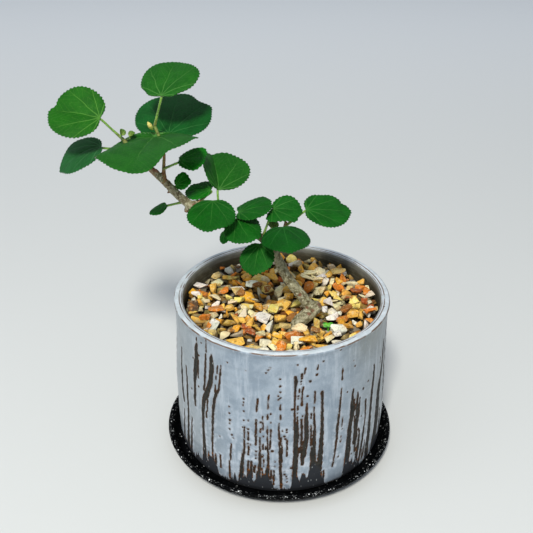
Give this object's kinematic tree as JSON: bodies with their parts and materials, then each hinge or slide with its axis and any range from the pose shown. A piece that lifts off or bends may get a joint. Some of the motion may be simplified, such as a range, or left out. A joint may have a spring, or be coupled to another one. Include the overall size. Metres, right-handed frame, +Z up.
{
  "type": "sea hibiscus bonsai",
  "caption": "Sea hibiscus bonsai: a leaning stem with round, finely toothed leaves, in a round glazed pot of coarse grit on a speckled saucer.",
  "frame": {"origin": "on the pot's axis, on the flat underside of the saucer", "axes": "+Z up, +X to the right in the picture, with the crown on the -X side, and +Y away from the viewer"},
  "size_m": [0.1834, 0.1348, 0.2201],
  "materials": {
    "saucer": "satin black with white speckles",
    "glaze": "glossy pale blue-grey glaze broken by dark vertical streaks",
    "drain_mesh": "matt",
    "grit": "rough mixed ochre, cream, grey and red-brown",
    "bark": "rough grey-olive bark",
    "leaf": "satin green leaf with paler veins",
    "young_leaf": "satin yellow-green",
    "bud": "satin pale yellow-green"
  },
  "bodies": {
    "root": {"saucer": "saucer", "pot": "glaze", "drain_mesh": "drain_mesh", "grit": "grit", "trunk": "bark", "leaf_crown_top": "leaf", "leaf_crown_back": "leaf", "leaf_far_left": "leaf", "leaf_lower_left": "leaf", "leaf_crown_front": "leaf", "leaf_fork": "leaf", "leaf_fork_small": "leaf", "leaf_middle_tall": "leaf", "leaf_middle_back": "leaf", "leaf_knuckle": "leaf", "leaf_middle_front": "leaf", "leaf_waist_front": "leaf", "leaf_waist_back": "leaf", "leaf_right_inner": "leaf", "leaf_far_right": "leaf", "leaf_right_front": "leaf", "leaf_low": "leaf", "leaf_low_small": "leaf", "leaf_young_twig": "young_leaf", "leaf_young_left": "young_leaf", "leaf_young_right": "young_leaf", "crown_bud": "bud", "sprout": "young_leaf"}
  },
  "joints": []
}
